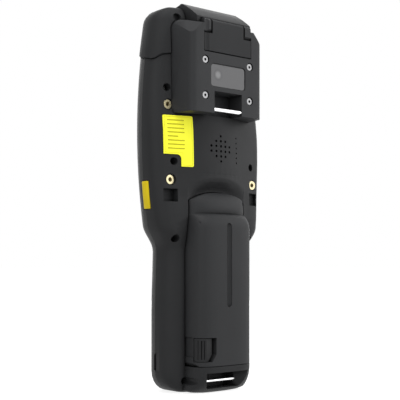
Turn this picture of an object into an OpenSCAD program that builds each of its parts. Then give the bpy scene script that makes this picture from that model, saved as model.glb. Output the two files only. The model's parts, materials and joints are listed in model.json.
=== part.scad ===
// Portable barcode data terminal with a removable battery, a rear camera module and a keypad.
// It stands on its foot: +Z runs up along its length, the display faces -Y, the battery faces +Y.

/* [Body] */
// Height of the boot's top above the foot
body_len = 212.5; // [208:0.5:217]
// Half of the width of the head at its widest
head_half_w = 40.5; // [39.5:0.25:42]
// Half of the width of the grip at the foot
grip_half_w = 31.5; // [31:0.25:32.5]
// How far the display face lies in front of the parting plane's datum
head_front = 21; // [20.5:0.25:22]
// How far the keypad face lies in front of the datum
grip_front = 19; // [18.5:0.25:19.5]
// Wall thickness of the two housings
wall = 2; // [1.6:0.1:2.4]

/* [Battery] */
// Half of the width of the battery cover
bat_half_w = 20; // [19:0.25:20.5]
// Height of the battery cover's bottom edge
bat_bottom = 15.5; // [15:0.5:17]
// Height of the battery cover's arched top edge on a body of the standard length
bat_top = 110.7; // [109:0.25:112]
// How far the battery cover stands behind the datum
bat_back = 21; // [20:0.25:22]
// Gap round the battery cover
bat_gap = 0.35; // [0.3:0.05:0.6]
// Width of the groove along the cover
groove_w = 3.6; // [2:0.2:4]
// Travel of the battery latch
latch_travel = 1.8; // [1:0.1:1.9]

/* [Camera module] */
// Half of the width of the module at its base
mod_half_w = 28; // [27:0.25:28.5]
// Height of the module
mod_h = 48; // [47:0.5:50]
// How far the module's face lies behind the datum
mod_back = 20; // [19:0.25:21]
// Half of the width of the camera window
win_half_w = 12.5; // [11:0.25:13]
// Height of the camera window
win_h = 12.6; // [11:0.2:13]
// Half of the width of the strap notch
notch_half_w = 10; // [9:0.25:10.5]
// Diameter of the strap bars
bar_d = 2.2; // [1.8:0.1:2.6]

/* [Port lid] */
// Half of the width of the port lid
lid_half_w = 16.8; // [16:0.2:17.2]
// Thickness of the port lid
lid_t = 2; // [1.6:0.1:2.4]
// Diameter of the lid's hinge pin
lid_pin_d = 1.6; // [1.2:0.1:2]
// Gap round the lid
lid_gap = 0.3; // [0.25:0.05:0.4]

/* [Display and keys] */
// Half of the width of the touch glass
glass_half_w = 27; // [26:0.25:27.5]
// Height of the touch glass
glass_h = 76; // [72:0.5:77]
// Thickness of the touch glass
glass_t = 1.1; // [0.8:0.1:1.2]
// Width of a number key
key_w = 7.6; // [6.8:0.1:8]
// Height of a number key
key_h = 6; // [5.2:0.1:6.6]
// Distance between key columns
key_pitch_x = 9.6; // [9:0.1:10]
// Distance between key rows on a body of the standard length
key_pitch_z = 8.7; // [8:0.1:8.8]
// How far the keys stand out of the face
key_proud = 1.3; // [1.1:0.1:1.8]
// Travel of a key
key_travel = 0.8; // [0.5:0.1:1]
// Gap round a key
key_gap = 0.25; // [0.2:0.05:0.4]
// Length of a side key
side_key_l = 15; // [12:0.5:17]

/* [Fasteners] */
// Half of the distance between the grip inserts
insert_x = 30.2; // [29.8:0.1:30.6]
// Outer diameter of a brass insert
insert_d = 5; // [4.6:0.1:5.6]
// Bore of a brass insert
insert_bore_d = 2.5; // [2:0.1:3]
// Diameter of the wells over the housing screws
well_d = 4.2; // [3.8:0.1:4.4]
// Diameter of the housing screws' shanks
screw_d = 2; // [1.6:0.1:2.2]

/* [Hidden] */
$fn = 48;
KEY_COLS = 4;
KEY_ROWS = 5;
KEY_NAMES = ["key_0_0", "key_0_1", "key_0_2", "key_0_3", "key_1_0", "key_1_1", "key_1_2", "key_1_3",
             "key_2_0", "key_2_1", "key_2_2", "key_2_3", "key_3_0", "key_3_1", "key_3_2", "key_3_3",
             "key_4_0", "key_4_1", "key_4_2", "key_4_3"];

// Common planes. Y counts from the datum: the display side is negative.
parting_y = -5;                      // where the two housings meet
grip_back_y = 7;                     // back of the grip beside the battery
head_edge_y = 3.6;                   // back edge of the head's rounded side
fit_gap = 0.1;                       // between fixed pieces
big = 300;                           // larger than anything here

// The layout's heights stretch with the body's length.
standard_len = 212.5;
stretch = body_len / standard_len;
cover_top = bat_top * stretch;

// Body outline
neck_lo = 78 * stretch;              // the grip starts to widen here
neck_hi = 92 * stretch;              // the head's own outline starts here
head_mid_z = 144 * stretch;          // the head is widest here
head_bow = 680 * stretch * stretch;  // the head's sides are this curve's arc
waist = 1;                           // how much narrower the grip is at its top
grip_front_r = 15.5;
head_front_r = 16.8;
grip_back_r = 11;
head_back_r = 9;
head_slope = 17.2;                   // slant of the head's back beside the centre
min_r = 3;
foot_round_w = 16;
foot_round_h = 12;
top_round_w = 13;
top_round_h = 9;
end_edge_r = 5;
shoulder_x = 20.5;                   // where the centre bulge of the back starts
crown_x = 13.5;                      // where the bulge turns round
crown_r = crown_x / sin(head_slope);
ridge_lo = cover_top + 5.3;
ridge_hi = cover_top + 10.3;

// Boot
boot_proud = 0.6;
boot_dip = 4.1;                      // how far the boot's lower edge dips at the sides
boot_seam = body_len - 26.5;
neck_box_top = body_len - 8.5;
neck_box = [[28, -16.5], [31, -12], [31, 0], [27.5, 4.4]];

// Camera module
mod_base_y = 4.5;
mod_top = body_len - 11.5;
mod_bottom = mod_top - mod_h;
mod_round = 4;
mod_rise = 3.3;                      // how much higher the module is at its base than at its face
mod_corner_r = 6;
mod_taper = 2;                       // how much narrower the module is behind than at its base
bar_z = mod_bottom + 2.3;
bar_y = mod_back - bar_d/2 - 0.2;
notch_top = mod_bottom + 12;
notch_floor_y = 9;
win_z = mod_top - 21.2 - win_h/2 + 0.2;
mod_screw_x = 16.2;
mod_screw_z = [mod_top - 19.6, mod_top - 38.8];
mod_screw_head_d = 3.7;
mod_screw_tip_y = 0.5;

// Port lid and its hinge
lid_bottom = mod_top - 14.6;
ear_bottom = mod_top - 4.7;
lid_axis_y = mod_back - lid_t;
lid_axis_z = mod_top + 1;
knuckle_r = lid_t;
tongue_half_w = 11.3;
ear_in = 12.4;

// Scanner nose
nose_half_w = 19.5;
nose_back_y = 16.5;
nose_under_y = 13.6;                 // the nose reaches down to the module in front of this plane
nose_top = body_len + 1.7;
nose_profile = [[-15, neck_box_top + fit_gap], [-15, body_len - 2], [1, nose_top - 0.6], [2.6, nose_top],
                [4.2, nose_top - 0.3], [9.9, body_len - 2.1], [15.2, body_len - 6],
                    [nose_back_y, body_len - 7.2],
                [nose_back_y, ear_top() + lid_gap], [nose_under_y, ear_top() + lid_gap],
                [nose_under_y, mod_slope(nose_under_y) + lid_gap], [12, mod_slope(12) + lid_gap],
                [mod_base_y + 0.2, mod_slope(mod_base_y) + lid_gap],
                    [mod_base_y + 0.2, neck_box_top + fit_gap]];
// Height of the module's slanting top at depth y.
function mod_slope(y) = y < 12 ? lerp(mod_top + mod_rise, mod_top + 1.9, (y - mod_base_y) / (12 - mod_base_y))
    : lerp(mod_top + 1.9, mod_top, (y - 12) / (mod_back - 12));
function ear_top() = lid_axis_z + knuckle_r + 0.3;

// Battery
bay_floor_y = 0;
cover_n = 4;                         // squareness of the cover's section
arch_r = 42.8;
crest_z = cover_top - 14;            // top of the cover's raised pad
valley_z = crest_z + 1.9;            // between the pad and the dome
valley_rise = 9.1;
dome_z = crest_z + 3.9;              // where the dome is fullest
dome_rise = 10;
groove_depth = 1.3;
cell_half_w = 17.8;
cell_z = [bat_bottom + 18.5, crest_z - 3];
cell_y = [bay_floor_y + 0.4, 17];
latch_in = 9.3;                      // inner end of the latch's recess
latch_z = [bat_bottom + 2.4, bat_bottom + 15.5];
latch_floor_y = 13.6;
latch_gap = 0.3;
latch_grip_x = 15.2;

// Back details
label_x = [17.4, 34];
label_z = [cover_top + 13.2, mod_bottom - 1.4];
label_notch = [9.8, 6.6];
label_t = 0.3;
speaker_z = lerp(cover_top, mod_bottom, 0.572);
speaker_r = 10;
insert_z = [cover_top + 6, mod_bottom + 4.6];
insert_len = 6.5;
hook_z = cover_top - 2.4;
hook_w = 7.8;
hook_h = 7;
hook_depth = 3.6;
well_spots = [[20.2, 7.2], [27, neck_lo + 7], [28.2, cover_top + 16], [30.6, mod_bottom + 13.8]];
well_floor_y = -1;
screw_head_h = 1.6;
screw_tip_y = -10;

// Front details
glass_z = boot_seam - 3 - glass_h;   // bottom of the touch glass
glass_face_y = -head_front + 0.2;
lcd_half_w = 26;
lcd_t = 3.2;
front_wall_y = -head_front + wall + 0.7;
head_room_z = min(neck_hi + 4, glass_z - 1 - fit_gap);  // the head's room starts under the gasket
keys_z = 16.8 * stretch;             // middle of the lowest key row
row_pitch = key_pitch_z * stretch;
nav_z = 70.5 * stretch;
nav_r_in = 7.4;
nav_r_out = 12.4;
scan_key_r = 6.8;
soft_key_x = 14.6;
soft_key_z = 89 * stretch;
key_base_y = -grip_front + wall + 0.3;
mat_y = key_base_y + key_travel + 0.1;
mat_t = 1;
board_t = 1.2;
side_key_z = neck_hi + 16.5;
side_key_y = [-6.6, -1];
side_key_proud = 0.5;

// ---------------------------------------------------------------- curves

function clamp01(t) = max(0, min(1, t));
function lerp(a, b, t) = a + (b - a) * t;
function ease(a, b, z) = let (t = clamp01((z - a) / (b - a))) t * t * (3 - 2*t);
// Fall of a quarter ellipse as t goes from 0 to 1.
function fall(t) = 1 - sqrt(max(0, 1 - t*t));
function end_t(z) = max(0, (foot_round_h - z) / foot_round_h, (z - body_len + top_round_h) / top_round_h);
function end_w(z) = z < foot_round_h ? foot_round_w : top_round_w;

function grip_w(z) = grip_half_w - waist * ease(neck_lo - 33, neck_lo + 2, z);
function head_w(z) = head_half_w - pow(z - head_mid_z, 2) / head_bow;
function half_w(z) = lerp(grip_w(z), head_w(z), ease(neck_lo, neck_hi, z)) - end_w(z)
    * fall(min(1, end_t(z)));
function front_y(z) = -lerp(grip_front, head_front, ease(neck_lo, neck_hi, z))
    + end_edge_r * fall(min(1, end_t(z)));
function slope(z) = head_slope * ease(neck_lo, neck_hi + 10, z);
function shrink(r, z) = max(min_r, r - end_w(z) * fall(min(1, end_t(z))));
function back_r(z) = shrink(lerp(grip_back_r, head_back_r, ease(neck_lo, neck_hi, z)), z);
function front_r(z) = shrink(lerp(grip_front_r, head_front_r, ease(neck_lo, neck_hi, z)), z);
// The back's edge swells out over the neck, then falls to the head's own depth.
EDGE_SHARES = [[0, 0], [0.022, -0.06], [0.065, -0.34], [0.107, -0.52], [0.146, -0.5], [0.232, -0.3],
    [0.312, -0.05],
    [0.409, 0.18], [0.506, 0.29], [0.646, 0.38], [0.793, 0.52], [0.878, 0.7], [0.951, 0.9], [1, 1]];
function edge_y(z) = lerp(grip_back_y, head_edge_y,
    lookup((z - neck_lo) / (head_mid_z + 16 - neck_lo), EDGE_SHARES))
    - end_edge_r * fall(min(1, end_t(z)));
// Depth of the slanted back beside the centre bulge.
function back_y(x, z) = let (r = back_r(z), s = slope(z)) edge_y(z) + (half_w(z) - r + r*sin(s) - x) * tan(s);

// Height of a superellipse of half width 1 and height 1.
function super(u, n) = pow(max(0, 1 - pow(min(1, abs(u)), n)), 1/n);
// The centre bulge of the head's back, above its shoulders.
function bulge(x) = x > crown_x ? (shoulder_x - x) * tan(head_slope)
    : (shoulder_x - crown_x) * tan(head_slope) + sqrt(crown_r*crown_r - x*x) - crown_r * cos(head_slope);
function bulge_amount(z) = ease(ridge_lo, ridge_hi, z) * (1 - ease(mod_top - 20, mod_top - 2, z));
// The hump under the battery, which carries the cover's shape down to the foot.
function hump(z) = z > bat_bottom + 0.2 ? 0
    : (bat_back - grip_back_y) * sqrt(1 - pow(max(0, bat_bottom - z) / (bat_bottom + 3.5), 2));

BACK_STEPS = [1, 0.985, 0.95, 0.9, 0.83, 0.75, 0.6, 0.4, 0.2, 0];

// Right half of the front's outline at height z, grown by g.
function front_half(z, g) = let (w = half_w(z) + g, r = front_r(z), yf = front_y(z) - g)
    concat([for (a = [-90:15:-15]) [w - r + r*cos(a), yf + r + r*sin(a)]], [[w, parting_y]]);
// Right half of the back's outline at height z, grown by g.
function rear_half(z, g) =
    let (w = half_w(z) + g, r = back_r(z), s = slope(z), ye = edge_y(z) + g,
         xe = w - r + r*sin(s), yc = ye - r*cos(s), xs = min(shoulder_x, xe - 0.4),
             ys = ye + (xe - xs)*tan(s))
    concat([[w, parting_y]],
           [for (k = [1:6]) let (a = (90 - s) * k/6) [w - r + r*cos(a), yc + r*sin(a)]],
           [for (f = BACK_STEPS) [xs*f, ys + bulge_amount(z) * bulge(xs*f) + hump(z) * super(f, cover_n)]]);
function full_half(z, g) = concat([for (k = [0:5]) front_half(z, g)[k]], rear_half(z, g));

// Solid through a list of mirrored half outlines. mid says that the outlines end on the middle
// line, and the end faces fan out from a point at y = hub.
module loft(halves, zs, mid, hub) {
    m = len(halves[0]);
    n = 2*m - (mid ? 1 : 0);
    top = (len(zs) - 1) * n;
    pts = [for (j = [0:len(zs) - 1], i = [0:n - 1])
        i < m ? [halves[j][i][0], halves[j][i][1], zs[j]]
              : [-halves[j][n - 1 - i][0], halves[j][n - 1 - i][1], zs[j]]];
    hubs = [[0, hub, zs[0]], [0, hub, zs[len(zs) - 1]]];
    sides = [for (j = [0:len(zs) - 2], i = [0:n - 1])
        let (a = j*n + i, d = j*n + (i + 1) % n, b = a + n, c = d + n) each [[a, b, c], [a, c, d]]];
    caps = [for (i = [0:n - 1]) let (k = (i + 1) % n)
        each [[i, k, top + n], [top + i, top + n + 1, top + k]]];
    polyhedron(points = concat(pts, hubs), faces = concat(sides, caps));
}

// Heights without repeats, in rising order.
function rising(v, gap) = len(v) < 2 ? v
    : let (s = quick(v)) [for (i = [0:len(s) - 1]) if (i == 0 || s[i] - s[i - 1] > gap) s[i]];
function quick(v) = len(v) < 2 ? v
    : let (p = v[0]) concat(quick([for (i = [1:len(v) - 1]) if (v[i] < p) v[i]]), [p],
                            quick([for (i = [1:len(v) - 1]) if (v[i] >= p) v[i]]));

FOOT_STEPS = [0, 0.05, 0.15, 0.3, 0.5, 0.75, 1];
function foot_zs() = [for (f = FOOT_STEPS) foot_round_h * f];
function body_zs(top) = let (zs = rising(concat(foot_zs(),
        [bat_bottom, bat_bottom + 0.4, neck_lo - 33, neck_lo - 22, neck_lo - 11, neck_lo],
        [for (k = [1:7]) lerp(neck_lo, neck_hi, k/7)], [neck_hi + 5, neck_hi + 10],
        [for (k = [0:5]) lerp(ridge_lo, ridge_hi, k/5)],
        [neck_hi + 16, neck_hi + 37.3, neck_hi + 45.7, head_mid_z, head_mid_z + 8,
         head_mid_z + 16, head_mid_z + 28, mod_top - 20]), 0.15))
    concat([for (z = zs) if (z < top - 1) z], [top]);

module rear_skin(top) {
    zs = body_zs(top);
    loft([for (z = zs) rear_half(z, 0)], zs, true, parting_y + 3);
}

module front_skin(top) {
    zs = body_zs(top);
    loft([for (z = zs) front_half(z, 0)], zs, false, parting_y - 5);
}

// ---------------------------------------------------------------- helpers

// Prism along Y between two planes, from a drawing in X and Z.
module along_y(y0, y1) { translate([0, y1, 0]) rotate([90, 0, 0]) linear_extrude(y1 - y0) children(); }
// Prism along X between two planes, from a drawing in Y and Z.
module along_x(x0, x1) { translate([x0, 0, 0]) rotate([90, 0, 90]) linear_extrude(x1 - x0) children(); }

module rod_y(x, z, y0, y1, d) { translate([x, y0, z]) rotate([-90, 0, 0]) cylinder(d = d, h = y1 - y0); }
module rod_x(y, z, x0, x1, d) { translate([x0, y, z]) rotate([0, 90, 0]) cylinder(d = d, h = x1 - x0); }
module block(x, y, z) { translate([x[0], y[0], z[0]]) cube([x[1] - x[0], y[1] - y[0], z[1] - z[0]]); }
module both_sides() { children(); mirror([1, 0, 0]) children(); }

// Rectangle with round corners, from its two corners.
module round_rect(a, b, r) {
    translate([a[0] + r, a[1]]) square([b[0] - a[0] - 2*r, b[1] - a[1]]);
    translate([a[0], a[1] + r]) square([b[0] - a[0], b[1] - a[1] - 2*r]);
    for (x = [a[0] + r, b[0] - r], z = [a[1] + r, b[1] - r]) translate([x, z]) circle(r);
}

function mirrored(half) = concat(half, [for (i = [len(half) - 1:-1:0]) [-half[i][0], half[i][1]]]);

// ---------------------------------------------------------------- boot seam and neck

// Everything above the boot's lower edge, moved down by a gap.
module above_seam(drop) {
    s = boot_seam - drop;
    along_x(-big, big) polygon([[-big, s + 0.6], [-16, s + 0.6], [-12, s - 1], [-9.5, s - 2.4], [-5, s - 3],
        [0, s - boot_dip], [1.5, s - boot_dip + 0.5], [3.5, s - 1.5], [5.5, s - 0.5], [12, s + 0.3],
        [big, s + 0.3], [big, big], [-big, big]]);
}

module neck_prism(inset, z0, z1) {
    translate([0, 0, z0]) linear_extrude(z1 - z0)
        polygon(mirrored([for (k = [0:3]) [neck_box[k][0] - inset,
            neck_box[k][1] + (k < 2 ? inset : k == 3 ? -inset : 0)]]));
}

// ---------------------------------------------------------------- housings

module screw_wells() {
    both_sides() for (s = well_spots) {
        rod_y(s[0], s[1], well_floor_y, big, well_d);
        rod_y(s[0], s[1], -big, well_floor_y + 1, screw_d + 0.3);
    }
}

module bay_outline(grow) {
    intersection() {
        translate([-bat_half_w - grow, bat_bottom - grow]) square([2*(bat_half_w + grow), cover_top]);
        translate([0, cover_top - arch_r]) circle(arch_r + grow, $fn = 120);
    }
    translate([-bat_half_w - grow, bat_bottom - grow]) square([2*(bat_half_w + grow), 60]);
}

module hook_holes() {
    both_sides() block([insert_x - hook_w/2, insert_x + hook_w/2],
        [back_y(insert_x, hook_z) - hook_depth, big],
                       [hook_z - hook_h/2, hook_z + hook_h/2]);
}

// Columns of sound holes, the longest in the middle.
GRILLE_ROWS = [2, 4, 6, 4, 2];
module grille() {
    $fn = 24;
    for (c = [0:len(GRILLE_ROWS) - 1], r = [0:GRILLE_ROWS[c] - 1])
        rod_y((c - 2) * 3.3, speaker_z + (r - (GRILLE_ROWS[c] - 1)/2) * 2.8, 8, big, 1.4);
    // one more column of finer holes
    for (r = [0:5]) rod_y(-13, speaker_z + (r - 2.5) * 2.8, 10, big, 1.1);
}

module side_windows(gap) {
    both_sides() block([half_w(side_key_z) - 4.8 - key_travel, big],
        [side_key_y[0] - gap, side_key_y[1] + gap],
                       [side_key_z - side_key_l/2 - gap, side_key_z + side_key_l/2 + gap]);
}

module strap_pocket() {
    translate([0, 0, 2.8]) linear_extrude(9)
        polygon(mirrored([[notch_half_w, grip_back_y - 0.6], [notch_half_w, bar_y2() + 0.6],
            [notch_half_w + 7, bat_back + 1]]));
}

module side_slots() {
    both_sides() {
        block([grip_half_w - 1.1, big], [parting_y - 1.2, parting_y + 0.7], [12.8, 21.6]);
        block([grip_half_w - 0.3, big], [parting_y, parting_y + 2.9], [12.4, 22.2]);
    }
}

module rear_housing() {
    color("#26272a") difference() {
        union() {
            difference() {
                rear_skin(boot_seam + 3);
                above_seam(0);
            }
            intersection() {
                neck_prism(0, boot_seam - 8, neck_box_top);
                block([-big, big], [parting_y, big], [0, big]);
            }
        }
        // battery bay
        along_y(bay_floor_y, big) bay_outline(bat_gap);
        // seat of the camera module
        block([-mod_half_w - fit_gap, mod_half_w + fit_gap], [mod_base_y, big],
              [mod_bottom - fit_gap, mod_top + mod_rise + fit_gap]);
        // hollows for the boards, below the module and in the grip
        difference() {
            block([-26, 26], [-big, mod_base_y - wall], [cover_top + wall, neck_box_top - wall]);
            both_sides() for (z = mod_screw_z) rod_y(mod_screw_x, z, mod_screw_tip_y - 1, big, 6);
        }
        block([-grip_half_w + 5.5, grip_half_w - 5.5], [-big, bay_floor_y - wall + 0.4], [12, neck_lo + 3]);
        block([-28, 28], [-big, bay_floor_y - wall + 0.4], [neck_lo + 12, cover_top + wall + 1]);
        // speaker chamber
        rod_y(0, speaker_z, -big, 9.7, 2*speaker_r + 0.3);
        grille();
        // window for the battery contacts
        block([-9.1, 9.1], [-big, bay_floor_y + 1], [39.9, 48.1]);
        hook_holes();
        both_sides() for (z = insert_z) {
            rod_y(insert_x, z, insert_face_y(z) - insert_len, big, insert_d + 0.06);
            rod_y(insert_x, z, insert_face_y(z), big, insert_d + 1.4);
            rod_y(insert_x, z, -big, big, insert_bore_d + 0.6);
        }
        both_sides() for (z = mod_screw_z) rod_y(mod_screw_x, z, mod_screw_tip_y - 0.2, big, screw_d + 0.1);
        screw_wells();
        side_windows(key_gap);
        strap_pocket();
        rod_x(bar_y2(), lower_bar_z(), -notch_half_w - 2.5, notch_half_w + 2.5, bar_d + 0.06);
        side_slots();
        seal_band(parting_y - 1, parting_y + 0.9, 0.05);
        // scanner's view out of the neck
        block([-14, 14], [-14, 1], [neck_box_top - wall - 1, big]);
        dock_hole(fit_gap);
    }
}

function insert_face_y(z) = back_y(insert_x, z) - 0.5;
function bar_y2() = grip_back_y + 5.4;
function lower_bar_z() = 6.8;

// Band along the parting plane that the seal lies in.
module seal_band(y0, y1, grow) {
    zs = concat([1.6, 2.6, 4, 6, 8, 10, 12, 20, neck_lo - 33, neck_lo - 22, neck_lo - 11],
                [for (k = [0:7]) lerp(neck_lo, neck_hi, k/7)],
                [neck_hi + 8, neck_hi + 20, neck_hi + 36, head_mid_z, head_mid_z + 16, head_mid_z + 28,
                 boot_seam - 4.6]);
    outer = [for (z = zs) [half_w(z) - 1.3 + grow, z - grow * (z < 2 ? 1 : 0)]];
    inner = [for (z = zs) if (z > 1.7) [half_w(z) - 2.3 - grow, z > boot_seam - 5 ? z - 1 : z]];
    along_y(y0, y1) difference() {
        polygon(mirrored(outer));
        polygon(mirrored(inner));
    }
}

module dock_hole(gap) {
    block([-12 - gap, 12 + gap], [-12 - gap, -6 + gap], [-1, 5]);
}

module front_housing() {
    cavity = [[29, -head_front + wall + 0.7], [33, -13], [34.3, parting_y + 1]];
    grip_cavity = [[21, -grip_front + wall], [26, -12.5], [27.6, parting_y + 1]];
    neck_cavity = [[24, -grip_front + wall], [28.6, -13], [30, parting_y + 1]];
    color("#232427") difference() {
        union() {
            difference() {
                front_skin(boot_seam + 3);
                above_seam(0);
                translate([0, 0, head_room_z]) linear_extrude(boot_seam - 3 - head_room_z)
                    polygon(mirrored(cavity));
                translate([0, 0, neck_lo + 5]) linear_extrude(neck_hi - neck_lo)
                    polygon(mirrored(neck_cavity));
                translate([0, 0, 5]) linear_extrude(neck_lo + 0.2) polygon(mirrored(grip_cavity));
            }
            difference() {
                intersection() {
                    neck_prism(0, boot_seam - 3.5, neck_box_top);
                    block([-big, big], [-big, parting_y], [0, big]);
                }
                neck_prism(wall, boot_seam - 8, neck_box_top - wall);
                block([-14, 14], [-14, 1], [neck_box_top - wall - 1, big]);
            }
            // posts for the housing screws, each tied to the nearest wall
            both_sides() for (s = well_spots) post(s[0], s[1]);
            // shelf under the scan engine
            block([-27, 27], [neck_box[0][1] + 0.5, parting_y], [boot_seam + 1, boot_seam + 2.4]);
        }
        both_sides() for (s = well_spots) rod_y(s[0], s[1], screw_tip_y - 0.5, big, screw_d + 0.04);
        // touch glass and the view to the display
        along_y(-big, glass_seat_y()) round_rect([-glass_half_w - fit_gap, glass_z - fit_gap],
            [glass_half_w + fit_gap, glass_z + glass_h + fit_gap], 3);
        block([2 - glass_half_w, glass_half_w - 2], [-big, 0], [glass_z + 2.5, glass_z + glass_h - 2.5]);
        key_holes();
        side_windows(key_gap);
        side_slots();
        dock_hole(fit_gap);
        // microphone and status lamps
        rod_y(0, 9.6, -big, -grip_front + wall + 1, 1);
        for (x = [-6, 0, 6]) rod_y(x, glass_z - 3.8, -big, -head_front + wall + 1, 1.2);
        // sound slot over the display
        block([-6, 6], [-big, -head_front + 1], [glass_z + glass_h + 1.1, glass_z + glass_h + 2.2]);
    }
}

function glass_seat_y() = glass_face_y + glass_t + 0.1;

module post(x, z) {
    deep = z > neck_hi ? -13.4 : -12.6;
    rod_y(x, z, deep, parting_y, 5.4);
    if (z > foot_round_h) block([x, half_w(z) - 1.2], [parting_y - 3.5, parting_y], [z - 1.5, z + 1.5]);
    else block([x - 1.5, x + 1.5], [deep, parting_y], [3.6, z]);
}

module key_spots() {
    for (c = [0:KEY_COLS - 1], r = [0:KEY_ROWS - 1]) translate([key_x(c), keys_z + r * row_pitch]) children();
}
function key_x(c) = (c - (KEY_COLS - 1)/2) * key_pitch_x;

module key_holes() {
    along_y(-big, 0) {
        key_spots() round_rect([-key_w/2 - key_gap, -key_h/2 - key_gap],
            [key_w/2 + key_gap, key_h/2 + key_gap], 1.6);
        translate([0, nav_z]) circle(nav_r_out + key_gap);
        for (x = [-soft_key_x, soft_key_x]) translate([x, soft_key_z])
            round_rect([-4.5 - key_gap, -2.8 - key_gap], [4.5 + key_gap, 2.8 + key_gap], 1.8);
    }
}

// ---------------------------------------------------------------- boot and scanner nose

module top_boot() {
    zs = concat([boot_seam - 4, boot_seam + 4, body_len - top_round_h],
                [for (f = [0.25, 0.45, 0.63, 0.78, 0.9, 1]) body_len - top_round_h * (1 - f)]);
    color("#2b2c2f") difference() {
        intersection() {
            loft([for (z = zs) full_half(z, boot_proud)], zs, true, parting_y);
            above_seam(-0.25);
        }
        neck_prism(-fit_gap, 0, neck_box_top + fit_gap);
        // window for the camera module
        along_y(mod_base_y - fit_gap, big)
            round_rect([-mod_half_w - 0.4, 0], [mod_half_w + 0.4, mod_top + mod_rise + 0.4], mod_corner_r);
        block([-mod_half_w - 0.4, mod_half_w + 0.4], [mod_base_y - fit_gap, big], [0, mod_top - 12]);
        along_x(-nose_half_w - 0.2, nose_half_w + 0.2) nose_room();
        // screws beside the nose
        both_sides() rod_y(24.4, body_len - 6.9, 3.4, big, well_d);
    }
}

// Side view of the room that the nose takes out of the boot.
module nose_room() {
    polygon([[-15.2, neck_box_top - 1], [-15.2, big], [big, big], [big, mod_top + 2],
        [mod_base_y, mod_top + 2],
        [mod_base_y, neck_box_top - 1]]);
}

module scan_nose() {
    color("#28292c") difference() {
        union() {
            along_x(-nose_half_w, nose_half_w) polygon(nose_profile);
            // cheeks beside the lid's ears
            both_sides() along_x(lid_half_w + lid_gap, nose_half_w) polygon([
                [nose_under_y - 1, mod_slope(nose_under_y - 1) + lid_gap],
                    [nose_back_y, mod_slope(nose_back_y) + lid_gap],
                [nose_back_y, ear_top() + 1], [nose_under_y - 1, ear_top() + 1]]);
        }
        block([-15, 15], [-13, 1], [0, body_len - 2.9]);
        block([-16.2, 16.2], [-13.8, 1.8], [body_len - 3.9, big]);
    }
}

module scan_window() {
    color("#3a1114") block([-16, 16], [-13.6, 1.6], [body_len - 3.8, body_len - 2.7]);
}

// ---------------------------------------------------------------- camera module

module module_section() {
    w1 = mod_half_w - mod_taper;
    y1 = mod_back - mod_round;
    polygon(mirrored([[mod_half_w, mod_base_y], [w1, y1],
        each [for (a = [10:16:90]) [w1 - mod_round + mod_round*cos(a), y1 + mod_round*sin(a)]]]));
}

// Slanting cut across the outer corner between the module's face, top and side.
module corner_bevel() {
    w = mod_half_w - mod_taper;
    on_top = [w - 7, mod_back, mod_top];
    on_face = [w, mod_back, mod_top - 8];
    on_side = [w, mod_back - 11, mod_top + 1];
    mid = (on_top + on_face + on_side) / 3;
    polyhedron([mid + 4*(on_top - mid), mid + 4*(on_face - mid), mid + 4*(on_side - mid),
                [w + 20, mod_back + 20, mod_top + 20]], [[0, 2, 1], [0, 1, 3], [1, 2, 3], [2, 0, 3]]);
}

module camera_housing() {
    color("#2a2b2e") difference() {
        union() {
            intersection() {
                translate([0, 0, mod_bottom]) linear_extrude(mod_h + mod_rise) module_section();
                along_y(0, big) round_rect([-mod_half_w, mod_bottom - 20],
                    [mod_half_w, mod_top + mod_rise], mod_corner_r);
                along_x(-big, big) polygon([[0, 0], [mod_back + 1, 0], [mod_back + 1, mod_slope(mod_back)],
                    [mod_back, mod_slope(mod_back)], [12, mod_slope(12)], [mod_base_y, mod_slope(mod_base_y)],
                    [0, mod_slope(mod_base_y)]]);
            }
            // hinge ears
            both_sides() along_x(ear_in, lid_half_w) ear_profile();
        }
        // lid, its tongue and the port pocket
        block([-lid_half_w - lid_gap, lid_half_w + lid_gap], [lid_axis_y - 0.1, big],
              [lid_bottom - 2*lid_gap, ear_bottom]);
        block([-ear_in, ear_in], [mod_base_y + 8.5, big], [ear_bottom - 0.1, big]);
        block([-13, 13], [lid_axis_y - 3, big], [lid_bottom + 2, ear_bottom - 1]);
        // hinge pin
        rod_x(lid_axis_y, lid_axis_z, 1 - lid_half_w, lid_half_w - 1, lid_pin_d + 0.06);
        // clearance for the lid's upper corners as it turns
        along_x(-lid_half_w - lid_gap, lid_half_w + lid_gap) polygon([[lid_axis_y + 0.4, ear_bottom - 0.1],
            [mod_back + 0.1, ear_bottom + 1.7], [mod_back + 0.1, ear_bottom - 0.1]]);
        // upper grip inserts
        both_sides() rod_y(insert_x, insert_z[1], 0, mod_base_y + 1, insert_d + 2*fit_gap);
        // shallow finger scoop down the lid's side
        lid_scoop();
        // bevels at the face's upper outer corners
        both_sides() corner_bevel();
        // camera window, camera and strap notch
        along_y(mod_back - 1.3, big) round_rect([-win_half_w - 0.1, win_z - win_h/2 - 0.1],
            [win_half_w + 0.1, win_z + win_h/2 + 0.1], 2);
        block([-10.6, 10.6], [0, big], [win_z - win_h/2 + 1.8, win_z + win_h/2 - 1.8]);
        along_y(notch_floor_y, big) translate([0, mod_bottom - 1])
            polygon(mirrored([[notch_half_w, 0], [notch_half_w, notch_top - mod_bottom + 1]]));
        rod_x(bar_y, bar_z, -notch_half_w - 3, notch_half_w + 3, bar_d + 0.06);
        // screws
        both_sides() for (z = mod_screw_z) {
            rod_y(mod_screw_x, z, mod_back - 1.9, big, mod_screw_head_d + 0.9);
            rod_y(mod_screw_x, z, 0, big, screw_d + 0.4);
        }
    }
}

module lid_scoop() {
    translate([lid_half_w - 1, mod_back + 2.3, lid_bottom - 0.3])
        cylinder(r = 3, h = lid_axis_z + 9 - lid_bottom);
}

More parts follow.
